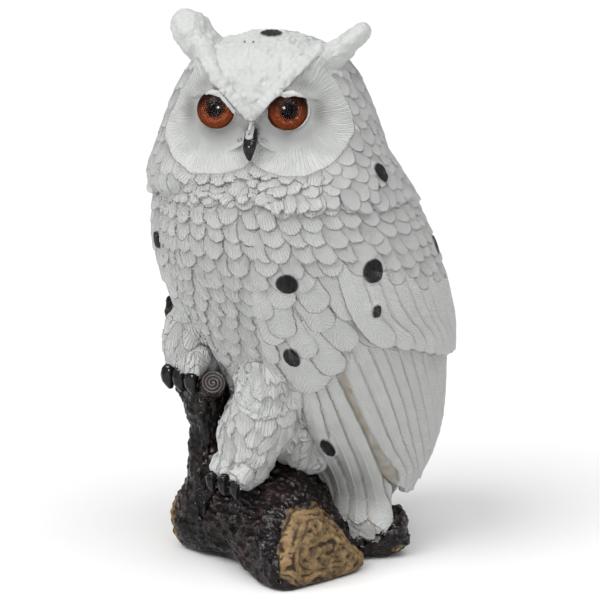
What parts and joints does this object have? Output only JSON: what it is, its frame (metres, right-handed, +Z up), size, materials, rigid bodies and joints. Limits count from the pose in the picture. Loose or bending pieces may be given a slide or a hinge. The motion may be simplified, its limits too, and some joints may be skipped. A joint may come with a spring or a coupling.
{
  "type": "owl figurine",
  "caption": "Standing eared owl figurine in white resin with a turned head, folded wings and black flecks, gripping a bark-covered log and an upright stump.",
  "frame": {"origin": "on the ground, under the middle of the whole figurine's bounding box", "axes": "+Z up, -Y the way the owl's breast faces, +X the owl's left"},
  "size_m": [0.1576, 0.1694, 0.3069],
  "materials": {
    "white_paint": "satin white paint over carved plumage, with a faint brown wash in the deepest creases",
    "black_paint": "glossy black paint over fine ridges",
    "bark_paint": "glossy dark brown and black paint over carved bark, with a dull tan on the sawn faces",
    "eye_glass": "clear and polished",
    "iris_paint": "orange-brown painted iris round a black pupil",
    "steel_pin": "plain drawn steel",
    "felt": "black felt"
  },
  "bodies": {
    "root": {"body_shell": "white_paint", "head_shell": "white_paint", "ear_tuft_left": "white_paint", "ear_tuft_right": "white_paint", "eye_glass_left": "eye_glass", "eye_glass_right": "eye_glass", "iris_disc_left": "iris_paint", "iris_disc_right": "iris_paint", "beak": "black_paint", "wing_left": "white_paint", "wing_right": "white_paint", "tail": "white_paint", "leg_left": "white_paint", "leg_right": "white_paint", "leg_pin_left": "steel_pin", "leg_pin_right": "steel_pin", "claw_left_inner": "black_paint", "claw_left_middle": "black_paint", "claw_left_outer": "black_paint", "claw_right_inner": "black_paint", "claw_right_middle": "black_paint", "claw_right_outer": "black_paint", "log": "bark_paint", "stump": "bark_paint", "knot": "bark_paint", "side_branch": "bark_paint", "felt_pad_front_left": "felt", "felt_pad_front_right": "felt", "felt_pad_back_left": "felt", "felt_pad_back_right": "felt"}
  },
  "joints": []
}
